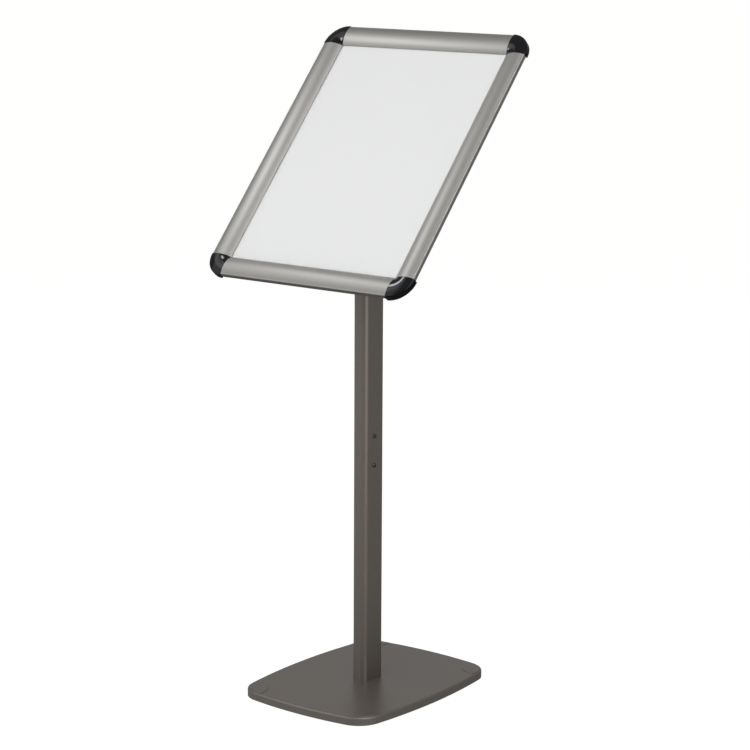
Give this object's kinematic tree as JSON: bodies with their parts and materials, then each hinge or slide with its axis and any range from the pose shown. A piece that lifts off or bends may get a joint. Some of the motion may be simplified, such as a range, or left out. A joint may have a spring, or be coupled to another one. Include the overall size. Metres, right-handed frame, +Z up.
{
  "type": "sign stand",
  "caption": "Floor-standing sign stand with a tilted snap-open poster frame, a rectangular post and a flat bow-sided base.",
  "frame": {"origin": "centre of the base on the floor", "axes": "+Z up, -Y towards the reader, +X to the right of the stand when it is read"},
  "size_m": [0.4144, 0.37, 1.0951],
  "materials": {
    "satin_aluminium": "satin anodised extrusion",
    "raw_aluminium": "mill finish",
    "black_chrome": "polished black chrome over moulded plastic",
    "black_plastic": "moulded",
    "spring_steel": "blued strip",
    "zinc_plated_steel": "bright zinc plate",
    "blackened_screws": "black oxide",
    "graphite_paint": "satin metallic powder coat",
    "black_paint": "matt paint",
    "rubber": "matt",
    "nylon": "natural",
    "panel_plastic": "smooth polystyrene sheet",
    "poster_paper": "plain grey printed paper",
    "clear_sheet": "clear anti-glare film"
  },
  "bodies": {
    "stand": {"ballast_plate": "black_paint", "base_bolts": "zinc_plated_steel", "base_cover": "graphite_paint", "base_feet": "rubber", "base_washers": "zinc_plated_steel", "foot_block": "raw_aluminium", "foot_spacer": "zinc_plated_steel", "friction_washer": "nylon", "head_casting": "graphite_paint", "head_screws": "blackened_screws", "joiner_screws": "blackened_screws", "pivot_bolt": "zinc_plated_steel", "post_joiner": "raw_aluminium", "post_lower": "graphite_paint", "post_upper": "graphite_paint", "spring_washer": "spring_steel", "stop_pin": "zinc_plated_steel"},
    "sign_frame": {"back_panel": "panel_plastic", "back_profile_bottom": "satin_aluminium", "back_profile_left": "satin_aluminium", "back_profile_right": "satin_aluminium", "back_profile_top": "satin_aluminium", "bar_rivets": "zinc_plated_steel", "corner_cap_bl": "black_chrome", "corner_cap_br": "black_chrome", "corner_cap_tl": "black_chrome", "corner_cap_tr": "black_chrome", "corner_key_bl": "black_plastic", "corner_key_br": "black_plastic", "corner_key_tl": "black_plastic", "corner_key_tr": "black_plastic", "corner_screws": "zinc_plated_steel", "cover_sheet": "clear_sheet", "cross_bars": "satin_aluminium", "plate_screws": "zinc_plated_steel", "poster": "poster_paper", "rail_springs_bottom": "spring_steel", "rail_springs_left": "spring_steel", "rail_springs_right": "spring_steel", "rail_springs_top": "spring_steel", "turn_plate": "graphite_paint"},
    "rail_top": {"snap_rail_top": "satin_aluminium"},
    "rail_bottom": {"snap_rail_bottom": "satin_aluminium"},
    "rail_left": {"snap_rail_left": "satin_aluminium"},
    "rail_right": {"snap_rail_right": "satin_aluminium"}
  },
  "joints": [
    {"name": "frame_turn", "type": "hinge", "parent": "stand", "child": "sign_frame", "pos_m": [0, 0.0035, 0.896], "axis": [0, -0.749, 0.6626], "range_deg": [0, 90]},
    {"name": "rail_open_top", "type": "hinge", "parent": "sign_frame", "child": "rail_top", "pos_m": [0, 0.16978, 1.08802], "axis": [-1, 0, 0], "range_deg": [0, 75]},
    {"name": "rail_open_bottom", "type": "hinge", "parent": "sign_frame", "child": "rail_bottom", "pos_m": [0, -0.16683, 0.70755], "axis": [1, 0, 0], "range_deg": [0, 75]},
    {"name": "rail_open_left", "type": "hinge", "parent": "sign_frame", "child": "rail_left", "pos_m": [-0.2035, 0.00148, 0.89779], "axis": [0, -0.6626, -0.749], "range_deg": [0, 75]},
    {"name": "rail_open_right", "type": "hinge", "parent": "sign_frame", "child": "rail_right", "pos_m": [0.2035, 0.00148, 0.89779], "axis": [0, 0.6626, 0.749], "range_deg": [0, 75]}
  ]
}
